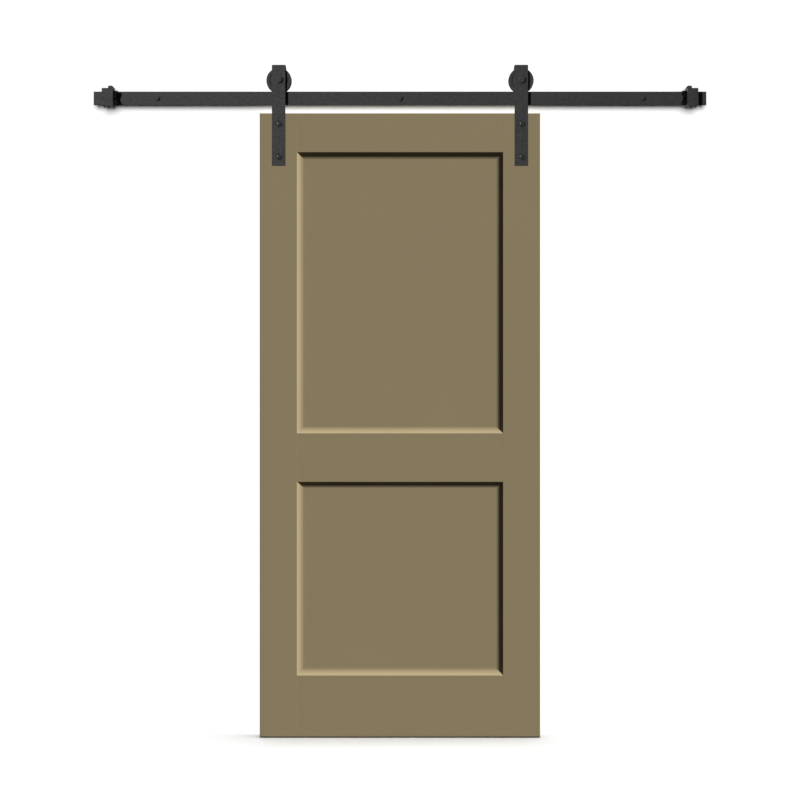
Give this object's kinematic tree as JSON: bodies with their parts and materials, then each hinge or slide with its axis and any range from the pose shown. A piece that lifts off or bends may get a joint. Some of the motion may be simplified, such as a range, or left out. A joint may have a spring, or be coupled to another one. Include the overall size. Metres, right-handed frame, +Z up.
{
  "type": "sliding barn door",
  "caption": "Two-panel painted sliding door hung by folded flat straps and grooved wheels from a flat wall rail with end stops; the door rolls sideways along the rail.",
  "frame": {"origin": "on the wall plane, on the axis of the middle wall bolt", "axes": "+X right along the rail, +Y into the wall, +Z up"},
  "size_m": [2, 0.115, 2.1901],
  "materials": {
    "door_paint": "sprayed satin olive paint on smooth fibreboard",
    "dowel_wood": "bare beech",
    "black_coat": "fine-textured black powder coat",
    "bright_steel": "ground bearing steel",
    "cage_brass": "drilled brass",
    "bumper_rubber": "matt moulded rubber"
  },
  "bodies": {
    "track": {"rail": "black_coat", "stand_offs": "black_coat", "wall_bolts": "black_coat", "wall_washers": "black_coat", "left_stop": "black_coat", "right_stop": "black_coat", "left_bumper": "bumper_rubber", "right_bumper": "bumper_rubber", "stop_screws": "bright_steel"},
    "door": {"left_stile": "door_paint", "right_stile": "door_paint", "top_rail": "door_paint", "lock_rail": "door_paint", "bottom_rail": "door_paint", "upper_panel": "door_paint", "lower_panel": "door_paint", "frame_dowels": "dowel_wood", "left_strap": "black_coat", "left_axle_bolt": "black_coat", "left_axle_spacers": "bright_steel", "left_axle_nut": "black_coat", "left_door_bolts": "black_coat", "left_sleeve_nuts": "black_coat", "left_inner_ring": "bright_steel", "right_strap": "black_coat", "right_axle_bolt": "black_coat", "right_axle_spacers": "bright_steel", "right_axle_nut": "black_coat", "right_door_bolts": "black_coat", "right_sleeve_nuts": "black_coat", "right_inner_ring": "bright_steel"},
    "left_roller": {"left_wheel": "black_coat", "left_outer_ring": "bright_steel", "left_shields": "bright_steel", "left_circlip": "bright_steel"},
    "left_ball_set": {"left_balls": "bright_steel", "left_cage": "cage_brass"},
    "right_roller": {"right_wheel": "black_coat", "right_outer_ring": "bright_steel", "right_shields": "bright_steel", "right_circlip": "bright_steel"},
    "right_ball_set": {"right_balls": "bright_steel", "right_cage": "cage_brass"}
  },
  "joints": [
    {"name": "door_slide", "type": "slide", "parent": "track", "child": "door", "axis": [1, 0, 0], "range_m": [-0.5, 0.5]},
    {"name": "left_wheel_spin", "type": "hinge", "parent": "door", "child": "left_roller", "pos_m": [-0.395, -0.033, 0.0573], "axis": [0, 1, 0], "continuous": true},
    {"name": "left_balls_roll", "type": "hinge", "parent": "door", "child": "left_ball_set", "pos_m": [-0.395, -0.033, 0.0573], "axis": [0, 1, 0], "continuous": true},
    {"name": "right_wheel_spin", "type": "hinge", "parent": "door", "child": "right_roller", "pos_m": [0.395, -0.033, 0.0573], "axis": [0, 1, 0], "continuous": true},
    {"name": "right_balls_roll", "type": "hinge", "parent": "door", "child": "right_ball_set", "pos_m": [0.395, -0.033, 0.0573], "axis": [0, 1, 0], "continuous": true}
  ],
  "couplings": [
    {"joint": "left_wheel_spin", "follows": "door_slide", "rad_per_m": 28.571},
    {"joint": "left_balls_roll", "follows": "door_slide", "rad_per_m": 18.571},
    {"joint": "right_wheel_spin", "follows": "door_slide", "rad_per_m": 28.571},
    {"joint": "right_balls_roll", "follows": "door_slide", "rad_per_m": 18.571}
  ]
}
